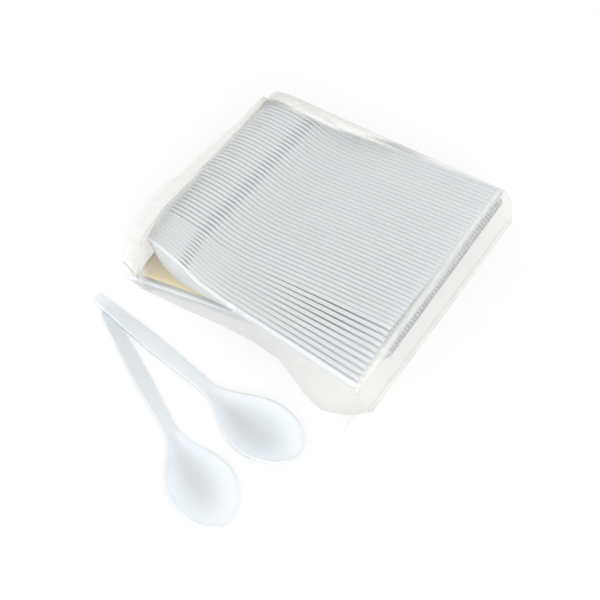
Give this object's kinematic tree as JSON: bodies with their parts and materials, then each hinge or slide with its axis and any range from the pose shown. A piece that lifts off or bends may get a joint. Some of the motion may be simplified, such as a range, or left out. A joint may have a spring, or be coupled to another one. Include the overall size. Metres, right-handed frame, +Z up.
{
  "type": "pack of plastic spoons",
  "caption": "Clear film bag of white plastic spoons, nested on edge in two layers laid top to tail, with loose spoons lying face up beside it.",
  "frame": {"origin": "middle of the footprint's box, on the floor", "axes": "+X along the pack's spoons towards the upper layer's handle ends, +Y from the loose spoons across the pack's rows, +Z up"},
  "size_m": [0.1798, 0.2664, 0.0476],
  "materials": {
    "spoon_plastic": "injection-moulded white polystyrene with a soft gloss",
    "clear_film": "clear thin polyolefin film, wrinkled",
    "slip_paper": "plain pale yellow paper"
  },
  "bodies": {
    "root": {"upper_spoon_01": "spoon_plastic", "upper_spoon_02": "spoon_plastic", "upper_spoon_03": "spoon_plastic", "upper_spoon_04": "spoon_plastic", "upper_spoon_05": "spoon_plastic", "upper_spoon_06": "spoon_plastic", "upper_spoon_07": "spoon_plastic", "upper_spoon_08": "spoon_plastic", "upper_spoon_09": "spoon_plastic", "upper_spoon_10": "spoon_plastic", "upper_spoon_11": "spoon_plastic", "upper_spoon_12": "spoon_plastic", "upper_spoon_13": "spoon_plastic", "upper_spoon_14": "spoon_plastic", "upper_spoon_15": "spoon_plastic", "upper_spoon_16": "spoon_plastic", "upper_spoon_17": "spoon_plastic", "upper_spoon_18": "spoon_plastic", "upper_spoon_19": "spoon_plastic", "upper_spoon_20": "spoon_plastic", "upper_spoon_21": "spoon_plastic", "upper_spoon_22": "spoon_plastic", "upper_spoon_23": "spoon_plastic", "upper_spoon_24": "spoon_plastic", "upper_spoon_25": "spoon_plastic", "upper_spoon_26": "spoon_plastic", "upper_spoon_27": "spoon_plastic", "upper_spoon_28": "spoon_plastic", "upper_spoon_29": "spoon_plastic", "upper_spoon_30": "spoon_plastic", "upper_spoon_31": "spoon_plastic", "upper_spoon_32": "spoon_plastic", "upper_spoon_33": "spoon_plastic", "upper_spoon_34": "spoon_plastic", "upper_spoon_35": "spoon_plastic", "upper_spoon_36": "spoon_plastic", "upper_spoon_37": "spoon_plastic", "upper_spoon_38": "spoon_plastic", "upper_spoon_39": "spoon_plastic", "upper_spoon_40": "spoon_plastic", "upper_spoon_41": "spoon_plastic", "upper_spoon_42": "spoon_plastic", "upper_spoon_43": "spoon_plastic", "upper_spoon_44": "spoon_plastic", "upper_spoon_45": "spoon_plastic", "upper_spoon_46": "spoon_plastic", "upper_spoon_47": "spoon_plastic", "upper_spoon_48": "spoon_plastic", "upper_spoon_49": "spoon_plastic", "upper_spoon_50": "spoon_plastic", "lower_spoons_1": "spoon_plastic", "lower_spoons_2": "spoon_plastic", "lower_spoons_3": "spoon_plastic", "lower_spoons_4": "spoon_plastic", "lower_spoons_5": "spoon_plastic", "loose_spoon_1": "spoon_plastic", "loose_spoon_2": "spoon_plastic", "paper_slip": "slip_paper", "film_bag": "clear_film"}
  },
  "joints": []
}
